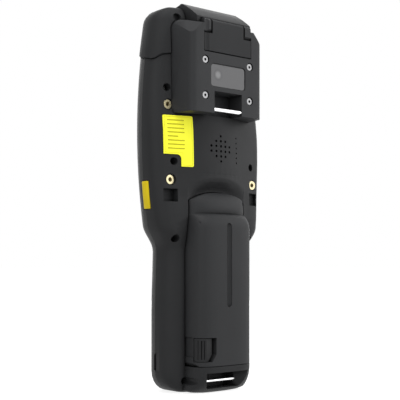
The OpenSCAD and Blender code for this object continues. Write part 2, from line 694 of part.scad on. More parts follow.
// Side view of a hinge ear: a leg with a round head about the hinge.
module ear_profile() {
    translate([lid_axis_y, lid_axis_z]) circle(knuckle_r);
    polygon([[14, ear_bottom - 2], [lid_axis_y + knuckle_r - 1.4, ear_bottom - 2],
        [lid_axis_y + knuckle_r - 1.4, ear_bottom], [lid_axis_y + knuckle_r, ear_bottom + 1.6],
        [lid_axis_y + knuckle_r, lid_axis_z], [lid_axis_y, lid_axis_z + knuckle_r],
            [14, lid_axis_z + knuckle_r]]);
}

module camera_window() {
    color("#77787b") along_y(mod_back - 1.25, mod_back - 0.35)
        round_rect([-win_half_w, win_z - win_h/2], [win_half_w, win_z + win_h/2], 2);
}

module camera_unit() {
    color("#18191b") {
        block([-10.2, 10.2], [mod_base_y + 0.1, 12], [win_z - 4.3, win_z + 4.3]);
        rod_y(7.2, win_z + 0.4, 11.9, mod_back - 1.6, 6.4);
        rod_y(-4.4, win_z, 11.9, mod_back - 3, 3.6);
    }
}

module module_screws() {
    color("#b9bcc0") both_sides() for (z = mod_screw_z) difference() {
        union() {
            rod_y(mod_screw_x, z, mod_back - 1.85, mod_back - 0.5, mod_screw_head_d);
            rod_y(mod_screw_x, z, mod_screw_tip_y, mod_back - 1.8, screw_d);
        }
        translate([mod_screw_x, mod_back - 1.2, z]) rotate([-90, 0, 0]) cylinder(d = 1.7, h = 2, $fn = 6);
    }
}

module port_lid() {
    color("#2c2d30") difference() {
        union() {
            block([-lid_half_w, lid_half_w], [lid_axis_y, mod_back], [lid_bottom, ear_bottom - lid_gap]);
            block([-tongue_half_w, tongue_half_w], [lid_axis_y, mod_back], [ear_bottom - 1, lid_axis_z]);
            rod_x(lid_axis_y, lid_axis_z, -tongue_half_w, tongue_half_w, 2*knuckle_r);
        }
        rod_x(lid_axis_y, lid_axis_z, -big, big, lid_pin_d + 0.1);
        lid_scoop();
    }
}

module lid_hinge_pin() {
    color("#8d9094") rod_x(lid_axis_y, lid_axis_z, 1.2 - lid_half_w, lid_half_w - 1.2, lid_pin_d);
}

module upper_strap_bar() {
    color("#e8e9ea") rod_x(bar_y, bar_z, -notch_half_w - 3, notch_half_w + 3, bar_d);
}

module lower_strap_bar() {
    color("#e8e9ea") rod_x(bar_y2(), lower_bar_z(), -notch_half_w - 2.5, notch_half_w + 2.5, bar_d);
}

// ---------------------------------------------------------------- battery

// Height of the cover's back over the grip at height z: a flat pad, then a valley and a dome.
function cover_rise(z) = z <= crest_z - 6 ? bat_back - grip_back_y
    : z <= valley_z
    ? lerp(bat_back - grip_back_y, valley_rise, fall((z - crest_z + 6) / (valley_z - crest_z + 6)))
    : z <= dome_z ? lerp(valley_rise, dome_rise, (z - valley_z) / (dome_z - valley_z))
    : lerp(dome_rise, 1, fall((z - dome_z) / (cover_top - dome_z + 0.4)));
function cover_half(z, grow) = let (w = bat_half_w + grow, h = cover_rise(z) + grow)
    concat([[w, bay_floor_y + 3]],
           [for (f = BACK_STEPS) [w*f,
               grip_back_y + h * super(f, lerp(cover_n, 2.4, ease(crest_z - 6, crest_z + 4, z)))]]);
function cover_zs() = concat([bat_bottom, crest_z - 6],
    [for (k = [1:6]) lerp(crest_z - 6, valley_z, sin(90*k/6))], [dome_z],
    [for (k = [1:6]) lerp(dome_z, cover_top, sin(90*k/6))]);

module cover_form(grow) {
    zs = cover_zs();
    loft([for (z = zs) cover_half(z, grow)], zs, true, grip_back_y - 1);
}

// The latch's place in the cover's lower corner.
module latch_room(gap) {
    along_y(latch_floor_y - gap, big)
        polygon([[latch_in + 2.6 - gap, latch_z[0] - gap], [big, latch_z[0] - gap],
        [big, latch_z[1] + gap], [latch_in - gap, latch_z[1] + gap], [latch_in - gap, latch_z[0] + 4 - gap]]);
}

module battery_cover() {
    color("#2d2e31") difference() {
        intersection() {
            cover_form(0);
            along_y(-1, big) bay_outline(0);
        }
        // groove along the middle
        intersection() {
            along_y(0, big) round_rect([-groove_w/2, bat_bottom + 32], [groove_w/2, crest_z - 3.2],
                groove_w/2 - 0.01);
            translate([0, bat_back + groove_r() - groove_depth, 0]) cylinder(r = groove_r(), h = big);
        }
        latch_room(0);
        // room for the cells
        block([-cell_half_w - 0.2, cell_half_w + 0.2], [-big, cell_y[1] + 0.2],
            [cell_z[0] - 0.2, cell_z[1] + 0.2]);
        // finger recesses and chamfers at the lower corners
        both_sides() {
            block([bat_half_w - 0.5, big], [-big, big], [bat_bottom + 5, bat_bottom + 15.8]);
            along_y(0, big) polygon([[bat_half_w + 1, bat_bottom - 1], [bat_half_w - 2.4, bat_bottom - 1],
                [bat_half_w + 1, bat_bottom + 3.4]]);
        }
    }
}
// Radius of the round channel that is groove_w wide and groove_depth deep.
function groove_r() = groove_w*groove_w / (8*groove_depth) + groove_depth/2;

module battery_cells() {
    color("#3b3d42") block([-cell_half_w, cell_half_w], cell_y, cell_z);
}

module battery_latch() {
    x0 = latch_in + latch_travel + latch_gap;
    color("#1f2023") difference() {
        intersection() {
            cover_form(0);
            block([x0, bat_half_w - 0.3], [latch_floor_y + 0.05, big],
                [latch_z[0] + latch_gap, latch_z[1] - latch_gap]);
        }
        // step along the outer edge
        block([bat_half_w - 2.2, big], [0, latch_floor_y + 0.6], [0, 60]);
        block([0, latch_grip_x], [bat_back - 1.7, big], [0, 60]);
        // lower inner corner follows the recess
        along_y(0, big) polygon([[x0 - 1, 0], [latch_in + 2.6 + latch_travel + latch_gap, latch_z[0]],
            [x0 - 1, latch_z[0] + 5.8]]);
        // finger ribs
        for (k = [0:2]) block([latch_grip_x + 0.9 + 1.2*k, latch_grip_x + 1.4 + 1.2*k],
            [bat_back - 2.4 - 1.2*k, big],
                              [latch_z[0] + 1.4, latch_z[1] - 1.4]);
    }
}

module battery_contacts() {
    color("#b08d3c") difference() {
        block([-9, 9], [bay_floor_y - 3, bay_floor_y], [40, 48]);
        for (x = [-6, -2, 2, 6]) block([x - 1, x + 1], [bay_floor_y - 0.6, 5], [41.5, 46.5]);
    }
}

// ---------------------------------------------------------------- inside

module speaker() {
    color("#3c3c3e") {
        rod_y(0, speaker_z, 6, 9.6, 2*speaker_r);
        rod_y(0, speaker_z, 4, 6.1, 12);
    }
}

module main_board() {
    color("#1d4f35") difference() {
        block([-23.4, 23.4], [-9.8, -9.8 + board_t], [neck_hi + 12, boot_seam - 4]);
        rod_y(-18, neck_hi + 16, -20, 0, 3);
        rod_y(18, neck_hi + 16, -20, 0, 3);
    }
    color("#2a2a2c") {
        block([-14, 2], [-9.8 + board_t, -6.6], [neck_hi + 40, neck_hi + 56]);
        block([6, 18], [-9.8 + board_t, -7], [neck_hi + 44, neck_hi + 56]);
        block([-23.4, -20.4], [-9.8 + board_t, parting_y], [neck_hi + 22, neck_hi + 76]);
        block([20.4, 23.4], [-9.8 + board_t, parting_y], [neck_hi + 22, neck_hi + 76]);
        block([-20, 20], [-14.2, -9.8], [neck_hi + 20, neck_hi + 26]);
    }
}

module keypad_board() {
    color("#1d4f35") difference() {
        block([-19, 19], [mat_y + mat_t, mat_y + mat_t + board_t], [13, neck_hi + 1]);
        for (x = [-16, 16]) rod_y(x, nav_z - 10.5, -big, 0, 2.4);
    }
}

module keypad_mat() {
    color("#3a3a3c") block([-20.6, 20.6], [mat_y, mat_y + mat_t], [12.4, neck_hi + 1.5]);
}

module display_panel() {
    color("#0c1a2c") block([-lcd_half_w, lcd_half_w], [front_wall_y + 0.5, front_wall_y + 0.5 + lcd_t],
                           [glass_z - 1, glass_z + glass_h - 1]);
}

module display_gasket() {
    color("#141416") difference() {
        block([-lcd_half_w, lcd_half_w], [front_wall_y, front_wall_y + 0.5],
            [glass_z - 1, glass_z + glass_h - 1]);
        block([2.2 - glass_half_w, glass_half_w - 2.2], [-big, 0], [glass_z + 2.7, glass_z + glass_h - 2.7]);
    }
}

module touch_glass() {
    color("#0a0b0d") along_y(glass_face_y, glass_face_y + glass_t)
        round_rect([-glass_half_w, glass_z], [glass_half_w, glass_z + glass_h], 3);
}

module dock_connector() {
    color("#1a1b1d") difference() {
        block([-12, 12], [-12, -6], [0.3, 5]);
        block([-10, 10], [-10.6, -7.4], [0, 2.2]);
    }
    color("#c6a04a") for (k = [0:7]) block([-8.9 + 2.3*k, -7.7 + 2.3*k], [-10, -8], [1.2, 2.3]);
}

module scan_engine() {
    color("#1b1c1e") block([-11, 11], [-13, -5.4], [boot_seam + 2.5, neck_box_top - wall - 0.5]);
    color("#6b6d70") block([-12.5, 12.5], [-5.5, -4.3], [boot_seam + 2.5, neck_box_top - wall - 2]);
}

module housing_seal() {
    color("#141416") difference() {
        seal_band(parting_y, parting_y + 0.85, 0);
        side_windows(2*key_gap);
    }
}

module housing_screws() {
    color("#55575b") both_sides() for (s = well_spots) {
        rod_y(s[0], s[1], well_floor_y, well_floor_y + screw_head_h, well_d - 0.5);
        rod_y(s[0], s[1], screw_tip_y, well_floor_y + 0.1, screw_d);
    }
}

module grip_inserts() {
    color("#c9a545") both_sides() for (z = insert_z) difference() {
        rod_y(insert_x, z, insert_face_y(z) - insert_len, insert_face_y(z) + 0.1, insert_d);
        rod_y(insert_x, z, insert_face_y(z) - insert_len - 1, big, insert_bore_d);
    }
}

module radio_antenna() {
    color("#b98d4a") block([-25, -19.5], [mod_base_y - wall - 0.9, mod_base_y - wall - 0.05],
        [mod_bottom + 12, mod_bottom + 34]);
}

module vibration_motor() {
    color("#9a9c9f") rod_x(-9.8 + board_t + 2.1, neck_hi + 30, -6, 5, 4);
    color("#9a9c9f") rod_x(-9.8 + board_t + 2.1, neck_hi + 30, 4.9, 8, 3);
}

module microphone() {
    color("#4a4b4e") rod_y(0, 9.6, -grip_front + wall + 0.02, -grip_front + wall + 2, 4);
}

// ---------------------------------------------------------------- label and keys

// Skin of the back between two distances from it.
module back_film(g0, g1) {
    zs = [for (z = body_zs(boot_seam)) if (z >= ridge_lo) z];
    difference() {
        loft([for (z = zs) rear_half(z, g1)], zs, true, parting_y + 3);
        loft([for (z = [ridge_lo - 1, each zs, boot_seam + 1]) rear_half(z, g0)],
             [ridge_lo - 1, each zs, boot_seam + 1], true, parting_y + 3);
    }
}

// Plain label on the slanted part of the back, beside the centre.
module rear_label() {
    color("#f4ef2c") intersection() {
        back_film(0.04, label_t);
        along_y(0, big) difference() {
            round_rect([label_x[0], label_z[0]], [label_x[1], label_z[1]], 0.8);
            round_rect([label_x[1] - label_notch[0], label_z[0] - 8],
                       [label_x[1] + 8, label_z[0] + label_notch[1]], 2.6);
        }
    }
}

module side_key_right() {
    zs = [side_key_z - side_key_l/2 - 2, side_key_z, side_key_z + side_key_l/2 + 2];
    color("#e9c62c") difference() {
        intersection() {
            loft([for (z = zs) full_half(z, side_key_proud)], zs, true, parting_y);
            block([half_w(side_key_z) - 4.6, big], side_key_y,
                [side_key_z - side_key_l/2, side_key_z + side_key_l/2]);
        }
        block([half_w(side_key_z) - 6, half_w(side_key_z) - 3.2], [side_key_y[0] + 1.6, side_key_y[1] - 1.6],
              [side_key_z - side_key_l/2 + 1.6, side_key_z + side_key_l/2 - 1.6]);
    }
}

module side_key_left() { mirror([1, 0, 0]) side_key_right(); }

module key_cap(x, z, w, h, r) {
    along_y(-grip_front - key_proud, key_base_y) translate([x, z]) round_rect([-w/2, -h/2], [w/2, h/2], r);
}

module number_key(k) {
    color("#46484c") key_cap(key_x(k % KEY_COLS), keys_z + floor(k / KEY_COLS) * row_pitch, key_w, key_h,
        1.4);
}

module scan_key() {
    color("#e9c62c") rod_y(0, nav_z, -grip_front - key_proud - 0.3, key_base_y, 2*scan_key_r);
}

module nav_ring() {
    color("#3b3d40") difference() {
        rod_y(0, nav_z, -grip_front - key_proud + 0.2, key_base_y, 2*nav_r_out);
        rod_y(0, nav_z, -big, 0, 2*nav_r_in);
    }
}

module soft_key_left() { color("#46484c") key_cap(-soft_key_x, soft_key_z, 9, 5.6, 1.6); }
module soft_key_right() { color("#46484c") key_cap(soft_key_x, soft_key_z, 9, 5.6, 1.6); }

rear_housing();
front_housing();
top_boot();
scan_nose();
scan_window();
camera_housing();
camera_window();
camera_unit();
module_screws();
port_lid();
lid_hinge_pin();
upper_strap_bar();
lower_strap_bar();
speaker();
rear_label();
side_key_right();
side_key_left();
battery_cover();
battery_cells();
battery_latch();
battery_contacts();
main_board();
keypad_board();
display_panel();
touch_glass();
display_gasket();
keypad_mat();
dock_connector();
scan_engine();
housing_seal();
housing_screws();
grip_inserts();
radio_antenna();
vibration_motor();
microphone();
scan_key();
nav_ring();
soft_key_left();
soft_key_right();
for (k = [0:len(KEY_NAMES) - 1]) number_key(k);
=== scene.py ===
"""Looks of the portable data terminal: moulded shells, rubber boot, keys, glass and metal parts."""

import json
import math

import bmesh
import bpy
from mathutils import Matrix, Vector

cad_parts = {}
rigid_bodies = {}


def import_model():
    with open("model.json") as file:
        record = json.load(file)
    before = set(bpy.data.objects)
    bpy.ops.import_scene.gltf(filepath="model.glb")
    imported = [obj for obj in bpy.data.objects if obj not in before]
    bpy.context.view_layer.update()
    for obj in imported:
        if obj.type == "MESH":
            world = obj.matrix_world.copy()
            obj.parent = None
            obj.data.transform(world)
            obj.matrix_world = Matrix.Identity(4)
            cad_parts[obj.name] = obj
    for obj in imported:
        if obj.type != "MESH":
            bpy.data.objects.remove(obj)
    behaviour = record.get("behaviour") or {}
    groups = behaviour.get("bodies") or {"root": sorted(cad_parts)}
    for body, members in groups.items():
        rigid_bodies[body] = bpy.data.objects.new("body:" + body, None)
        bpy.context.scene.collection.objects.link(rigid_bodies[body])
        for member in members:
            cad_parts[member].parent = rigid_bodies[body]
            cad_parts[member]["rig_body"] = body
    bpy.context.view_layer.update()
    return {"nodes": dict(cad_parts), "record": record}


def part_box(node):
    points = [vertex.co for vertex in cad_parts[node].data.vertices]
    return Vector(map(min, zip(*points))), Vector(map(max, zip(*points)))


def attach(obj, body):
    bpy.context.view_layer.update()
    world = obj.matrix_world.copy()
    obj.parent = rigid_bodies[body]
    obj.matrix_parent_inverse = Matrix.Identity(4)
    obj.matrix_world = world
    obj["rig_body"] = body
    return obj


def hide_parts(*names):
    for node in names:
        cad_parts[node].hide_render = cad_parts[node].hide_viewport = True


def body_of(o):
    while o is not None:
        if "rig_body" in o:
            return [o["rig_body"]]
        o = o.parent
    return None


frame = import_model()
NODES = frame["nodes"]
MM = 0.001
SLOTS = {s["node"]: s["material_slot"] for s in frame["record"]["subparts"]}

# ---------------------------------------------------------------- node helpers


class Nodes:
    """A new material with short calls for its nodes."""

    def __init__(self, name):
        self.material = bpy.data.materials.new(name)
        self.material.use_nodes = True
        self.tree = self.material.node_tree
        self.shader = self.tree.nodes["Principled BSDF"]

    def add(self, kind, inputs=None, **settings):
        """One node, with its plain settings and its inputs' values or links."""
        node = self.tree.nodes.new(kind)
        for key, value in settings.items():
            setattr(node, key, value)
        for key, value in (inputs or {}).items():
            self.feed(node.inputs[key], value)
        return node

    def feed(self, socket, value):
        """A link where value is a socket, and otherwise a plain value."""
        if isinstance(value, bpy.types.NodeSocket):
            self.tree.links.new(value, socket)
        else:
            socket.default_value = value

    def surface(self, **values):
        """The shader's own inputs, by their names with spaces as underscores."""
        for key, value in values.items():
            self.feed(self.shader.inputs[key.replace("_", " ")], value)

    def place(self):
        """Object coordinates, in metres."""
        return self.add("ShaderNodeTexCoord").outputs["Object"]

    def along(self):
        """Object coordinates as three sockets, in metres."""
        return self.add("ShaderNodeSeparateXYZ", {"Vector": self.place()}).outputs

    def math(self, operation, *values):
        """One sum on sockets and plain values."""
        node = self.add("ShaderNodeMath", operation=operation)
        for socket, value in zip(node.inputs, values):
            self.feed(socket, value)
        return node.outputs[0]

    def within(self, value, low, high):
        """1 where value lies from low to high, and 0 elsewhere."""
        return self.math("COMPARE", value, (low + high) / 2, (high - low) / 2)

    def patch(self, x, z, low, high):
        """1 inside the upright rectangle from low to high, each (x, z)."""
        return self.math("MULTIPLY", self.within(x, low[0], high[0]), self.within(z, low[1], high[1]))

    def noise(self, size, detail=3.0):
        """Noise whose spots measure about size, in metres."""
        inputs = {"Vector": self.place(), "Scale": 1 / size, "Detail": detail, "Roughness": 0.5}
        return self.add("ShaderNodeTexNoise", inputs).outputs["Fac"]

    def spread(self, value, low, high, start=0.0, end=1.0):
        """value's run from start to end, mapped to the run from low to high."""
        inputs = {"Value": value, "From Min": start, "From Max": end, "To Min": low, "To Max": high}
        return self.add("ShaderNodeMapRange", inputs).outputs["Result"]

    def blend(self, share, first, second):
        """Two colours mixed by share."""
        node = self.add("ShaderNodeMix", data_type="RGBA")
        for key, value in (("Factor_Float", share), ("A_Color", first), ("B_Color", second)):
            socket = next(s for s in node.inputs if s.identifier == key)
            self.feed(socket, value)
        return next(s for s in node.outputs if s.identifier == "Result_Color")

    def rounded(self, radius):
        """Normals that run round the edges over radius."""
        return self.add("ShaderNodeBevel", {"Radius": radius}, samples=6).outputs["Normal"]

    def painted_shade_mask(self, reach, start=0.25, end=0.85):
        """1 on open surfaces, and down to 0 inside gaps and pockets narrower than reach: the mask by
        which shade is painted into colour.
        """
        gap = self.add("ShaderNodeAmbientOcclusion", {"Distance": reach}, samples=8).outputs["AO"]
        return self.spread(gap, 0.0, 1.0, start, end)

    def bump(self, height, depth, strength=1.0, normal=None):
        """Normals of a surface whose height runs over depth, in metres."""
        inputs = {"Height": height, "Distance": depth, "Strength": strength}
        node = self.add("ShaderNodeBump", inputs)
        if normal:
            self.feed(node.inputs["Normal"], normal)
        return node.outputs["Normal"]


def rgba(colour):
    return (*colour, 1.0)


def tint(colour, factor):
    return tuple(c * factor for c in colour)


# ---------------------------------------------------------------- finishes

CHARCOAL = (0.0215, 0.022, 0.0232)
GAP_PAINTED_SHADE = 0.3                         # painted shade: share of its colour that plastic keeps deep in a gap, where shade falls
PARTING_Y = -5 * MM                     # where the two housings meet, as in the part
PARTING_LINE = 0.18 * MM
GRAIN_DEPTH = 0.02 * MM
GRAIN_SIZE = 0.3 * MM
PLASTIC_EDGE = 0.3 * MM                 # how round the edges of moulded parts look
METAL_EDGE = 0.08 * MM
LABEL_YELLOW = (0.95, 0.94, 0.05)
ACCENT_YELLOW = (0.95, 0.72, 0.02)
RULE_INK = (0.26, 0.22, 0.008)


def moulded_plastic(name, colour, roughness=0.5, specular=0.15, parted=False):
    """Fine grained moulded plastic with handled, slightly uneven gloss and painted shade that darkens
    its gaps and pockets.
    """
    n = Nodes(name)
    patches = n.noise(0.03, detail=2)
    fine = n.noise(GRAIN_SIZE, detail=2)
    # painted shade: clear falls to 0 inside gaps and pockets, and there the colour darkens to the gap
    # share
    clear = n.painted_shade_mask(2.2 * MM, 0.35, 0.95)
    if parted:
        line = n.within(n.along()[1], PARTING_Y - PARTING_LINE, PARTING_Y + PARTING_LINE)
        clear = n.math("SUBTRACT", clear, line)
    body = n.blend(patches, rgba(tint(colour, 0.9)), rgba(tint(colour, 1.12)))
    n.surface(
        Base_Color=n.blend(clear, rgba(tint(colour, GAP_PAINTED_SHADE)), body),
        Roughness=n.spread(n.noise(0.012, detail=4), roughness - 0.06, roughness + 0.06),
        Normal=n.bump(fine, GRAIN_DEPTH, 0.6, n.rounded(PLASTIC_EDGE)),
        Specular_IOR_Level=specular,
    )
    return n.material


def metal(name, colour, roughness, reach=2 * MM, painted_hollow_shade=0.08):
    """Turned or rolled metal with small changes in its shine, and painted shade darkening it inside
    hollows narrower than reach.
    """
    n = Nodes(name)
    bright = n.blend(n.noise(0.002), rgba(tint(colour, 0.92)), rgba(colour))
    n.surface(
        # painted shade: inside hollows the colour darkens to the hollow share of itself
        Base_Color=n.blend(n.painted_shade_mask(reach, 0.5, 0.85), rgba(tint(colour, painted_hollow_shade)), bright),
        Metallic=1.0,
        Roughness=n.spread(n.noise(0.0006), roughness - 0.05, roughness + 0.07),
        Normal=n.rounded(METAL_EDGE),
    )
    return n.material


LABEL_NOTCH = (9.8 * MM, 6.6 * MM)      # as in the part
LABEL_TOP = 2.6 * MM                    # first rule below the top edge
LABEL_PITCH = 2.2 * MM
LABEL_RULE = 0.75 * MM
LABEL_PAINTED_GLOW = 0.3                        # painted glow: the film gives off yellow light of its own, which brightens it
LABEL_RULES = [                         # each rule's start from the outer edge, and its length
    (2.2 * MM, 9.5 * MM),
    (2.2 * MM, 9.5 * MM),
    (2.2 * MM, 9.5 * MM),
    (2.2 * MM, 9.5 * MM),
    (2.2 * MM, 6.0 * MM),
    (2.2 * MM, 9.5 * MM),
    (2.2 * MM, 9.5 * MM),
    (2.2 * MM, 9.5 * MM),
]


def label_film():
    """Yellow film with a thin border, plain ruled lines and a painted glow."""
    n = Nodes("label_film")
    low, high = (Vector(corner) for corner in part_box("rear_label"))
    x, _, z = n.along()

    def sheet(inset):
        whole = n.patch(x, z, (low.x + inset, low.z + inset), (high.x - inset, high.z - inset))
        corner = n.patch(x, z, (high.x - LABEL_NOTCH[0] - inset, low.z - 1),
                         (high.x + 1, low.z + LABEL_NOTCH[1] + inset))
        return n.math("MULTIPLY", whole, n.math("SUBTRACT", 1.0, corner))

    ink = n.math("SUBTRACT", sheet(0.7 * MM), sheet(0.9 * MM))
    for row, (start, length) in enumerate(LABEL_RULES):
        level = high.z - LABEL_TOP - row * LABEL_PITCH
        right = high.x - start
        rule = n.patch(x, z, (right - length, level - LABEL_RULE / 2), (right, level + LABEL_RULE / 2))
        ink = n.math("MAXIMUM", ink, rule)
    patches = n.blend(n.noise(0.02, detail=2), rgba(tint(LABEL_YELLOW, 0.95)), rgba(LABEL_YELLOW))
    n.surface(
        Base_Color=n.blend(ink, patches, rgba(RULE_INK)),
        Roughness=n.spread(n.noise(0.004), 0.3, 0.42),
        Normal=n.rounded(0.0001),
        Specular_IOR_Level=0.1,
        # painted glow: the film emits yellow light though it is no lamp
        Emission_Color=rgba(LABEL_YELLOW),
        Emission_Strength=LABEL_PAINTED_GLOW,
    )
    return n.material


WINDOW_CORNER = 2 * MM                  # radius of the window's corners, as in the part


def smoked_window():
    """Smoked acrylic with the lens showing through as a soft spot."""
    n = Nodes("smoked_window")
    low, high = (Vector(corner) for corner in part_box("camera_window"))
    middle = (low + high) / 2
    x, _, z = n.along()

    def spot(centre_x, centre_z, radius, blur):
        across = n.math("SUBTRACT", x, centre_x)
        up = n.math("SUBTRACT", z, centre_z)
        square = n.math("ADD", n.math("MULTIPLY", across, across), n.math("MULTIPLY", up, up))
        return n.spread(n.math("SQRT", square), 1.0, 0.0, radius - blur, radius + blur)

    lens = spot(middle.x + 7.2 * MM, middle.z + 0.4 * MM, 1.8 * MM, 0.7 * MM)
    ring = spot(middle.x + 7.2 * MM, middle.z + 0.4 * MM, 3.2 * MM, 0.4 * MM)
    grey = n.blend(n.noise(0.02, detail=1), (0.125, 0.125, 0.129, 1), (0.135, 0.135, 0.139, 1))
    grey = n.blend(ring, grey, (0.115, 0.115, 0.119, 1))
    grey = n.blend(lens, grey, (0.25, 0.25, 0.255, 1))
    squares = []
    for value, centre, half in ((x, middle.x, middle.x - low.x), (z, middle.z, middle.z - low.z)):
        away = n.math("ABSOLUTE", n.math("SUBTRACT", value, centre))
        outside = n.math("MAXIMUM", 0.0, n.math("SUBTRACT", away, half - WINDOW_CORNER))
        squares.append(n.math("MULTIPLY", outside, outside))
    corner = n.math("SQRT", n.math("ADD", *squares))
    rim = n.spread(corner, 0.0, 1.0, WINDOW_CORNER - 0.45 * MM, WINDOW_CORNER - 0.25 * MM)
    grey = n.blend(rim, grey, (0.012, 0.012, 0.0125, 1))
    n.surface(Base_Color=grey, Roughness=0.16, Normal=n.rounded(0.00025), Specular_IOR_Level=0.25)
    return n.material


def touch_glass():
    """Black printed border round a faintly lighter view of the display."""
    n = Nodes("touch_glass")
    low, high = (Vector(corner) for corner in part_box("display_panel"))
    x, _, z = n.along()
    edge = 2.2 * MM
    view = n.patch(x, z, (low.x + edge, low.z + edge), (high.x - edge, high.z - edge))
    n.surface(
        Base_Color=n.blend(view, (0.003, 0.003, 0.0035, 1), (0.012, 0.014, 0.018, 1)),
        Roughness=n.spread(n.noise(0.02), 0.03, 0.07),
        Normal=n.rounded(0.0002),
        Specular_IOR_Level=0.5,
    )
    return n.material


FINISHES = {
    "housing": lambda: moulded_plastic("housing_plastic", CHARCOAL, parted=True),
    "front_shell": lambda: moulded_plastic("front_plastic", tint(CHARCOAL, 0.85), parted=True),
    "boot": lambda: moulded_plastic("boot_rubber", CHARCOAL, roughness=0.6),
    "nose": lambda: moulded_plastic("nose_plastic", tint(CHARCOAL, 0.8)),
    "scan_filter": lambda: moulded_plastic("scan_filter", (0.06, 0.004, 0.005), 0.12, specular=0.5),
    "module": lambda: moulded_plastic("module_plastic", tint(CHARCOAL, 1.5)),
    "module_window": smoked_window,
    "camera": lambda: moulded_plastic("camera_black", (0.01, 0.01, 0.011), roughness=0.2),
    "screw_steel": lambda: metal("screw_steel", (0.3, 0.3, 0.305), 0.4),
    "lid": lambda: moulded_plastic("lid_rubber", tint(CHARCOAL, 1.15), roughness=0.6),
    "pin_steel": lambda: metal("pin_steel", (0.6, 0.6, 0.61), 0.3),
    "bar_chrome": lambda: metal("bar_steel", (0.95, 0.95, 0.955), 0.12),
    "speaker_frame": lambda: moulded_plastic("speaker_black", (0.006, 0.006, 0.006)),
    "label": label_film,
    "accent": lambda: moulded_plastic("accent_yellow", ACCENT_YELLOW, roughness=0.4, specular=0.1),
    "cover": lambda: moulded_plastic("cover_plastic", tint(CHARCOAL, 1.35)),
    "cells": lambda: moulded_plastic("cell_wrap", (0.03, 0.035, 0.05), roughness=0.3),
    "latch": lambda: moulded_plastic("latch_plastic", tint(CHARCOAL, 0.9)),
    "contacts": lambda: metal("contact_gold", (0.8, 0.6, 0.25), 0.3),
    "board": lambda: moulded_plastic("board_mask", (0.01, 0.07, 0.03), roughness=0.3),
    "display": lambda: moulded_plastic("display_panel", (0.008, 0.01, 0.016), roughness=0.15),
    "glass": touch_glass,
    "seal": lambda: moulded_plastic("seal_rubber", (0.01, 0.01, 0.01), roughness=0.7),
    "keymat": lambda: moulded_plastic("mat_rubber", (0.03, 0.03, 0.031), roughness=0.7),
    "connector": lambda: moulded_plastic("connector_black", (0.01, 0.01, 0.011)),
    "engine": lambda: moulded_plastic("engine_black", (0.012, 0.012, 0.013)),
    "brass_insert": lambda: metal("insert_brass", (0.72, 0.64, 0.41), 0.5, reach=0.9 * MM, painted_hollow_shade=0.25),
    "antenna": lambda: metal("antenna_film", (0.7, 0.5, 0.28), 0.4),
    "motor": lambda: metal("motor_steel", (0.6, 0.6, 0.62), 0.3),
    "microphone": lambda: metal("microphone_can", (0.4, 0.4, 0.42), 0.4),
    "keycap": lambda: moulded_plastic("key_plastic", (0.06, 0.062, 0.066)),
    "nav": lambda: moulded_plastic("nav_plastic", (0.045, 0.047, 0.05)),
}

MATERIALS = {slot: make() for slot, make in FINISHES.items()}


NODE_SHARP = math.radians(32)


def dress_nodes():
    """Each CAD node gets its slot's finish and smooth shading between sharp edges."""
    for name, node in NODES.items():
        node.data.materials.clear()
        node.data.materials.append(MATERIALS[SLOTS[name]])
        for face in node.data.polygons:
            face.use_smooth = True
        weld = node.modifiers.new("weld", "WELD")
        weld.merge_threshold = 1e-7
        node.modifiers.new("creases", "EDGE_SPLIT").split_angle = NODE_SHARP


# ---------------------------------------------------------------- pieces

SHARP = math.radians(40)


def piece(name, bm, material, body):
    """A finished piece on a body, with smooth faces between sharp edges."""
    mesh = bpy.data.meshes.new(name)
    for face in bm.faces:
        face.smooth = True
    bm.to_mesh(mesh)
    bm.free()
    obj = bpy.data.objects.new(name, mesh)
    bpy.context.scene.collection.objects.link(obj)
    mesh.materials.append(material)
    obj.modifiers.new("creases", "EDGE_SPLIT").split_angle = SHARP
    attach(obj, body)
    return obj


def merged(name):
    """A CAD node's mesh with its loose triangles joined."""
    bm = bmesh.new()
    bm.from_mesh(NODES[name].data)
    bmesh.ops.remove_doubles(bm, verts=bm.verts, dist=1e-7)
    return bm


def in_place(name, bm):
    """The piece that stands for a CAD node, on the node's body and with its finish."""
    obj = piece(f"{name}_soft", bm, MATERIALS[SLOTS[name]], body_of(NODES[name])[0])
    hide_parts(name)
    return obj


def softened(name, radius, segments=3):
    """A copy of a CAD node with real round edges, in the node's place."""
    bm = merged(name)
    bmesh.ops.dissolve_limit(bm, angle_limit=math.radians(1), verts=bm.verts, edges=bm.edges)
    edges = [e for e in bm.edges if e.is_manifold and e.calc_face_angle(0) > SHARP]
    bmesh.ops.bevel(bm, geom=edges, offset=radius, offset_type="OFFSET", segments=segments,
                    profile=0.5, affect="EDGES", clamp_overlap=True, material=-1)
    return in_place(name, bm)


ARCH_R = 42.8 * MM                      # of the bay's arched top, as in the part
DIP_WIDTH = (1 * MM, 8.5 * MM)          # the back dips between these distances from the bay
DIP_DEPTH = (0.6 * MM, 1.5 * MM)        # beside the bay, and above its arch
RIDGE = (5.3 * MM, 10.3 * MM)           # above the bay the part's centre bulge comes in here
BULGE_EDGE = (0.5 * MM, 8.2 * MM)       # distances from the bay where it comes in instead
SHOULDER_X = 20.5 * MM                  # the bulge's section, as in the part
CROWN_X = 13.5 * MM
HEAD_SLOPE = math.radians(17.2)
CROWN_R = CROWN_X / math.sin(HEAD_SLOPE)
DIP_FADE = (80 * MM, 92 * MM)           # heights over which the dip comes in
BACK_FROM_Y = 4 * MM                    # the back's surface lies behind this plane
FINE_EDGE = 1.3 * MM


def ease(low, high, value):
    t = min(1, max(0, (value - low) / (high - low)))
    return t * t * (3 - 2 * t)


def bay_distance(x, z, half, top):
    """How far a spot on the back lies outside the battery bay's outline."""
    centre = top - ARCH_R
    corner = centre + math.sqrt(ARCH_R ** 2 - half ** 2)
    x = abs(x)
    if x > half:
        return math.hypot(x - half, z - corner) if z > corner else x - half
    return math.hypot(x, z - centre) - ARCH_R if z > corner - 5 * MM else x - half


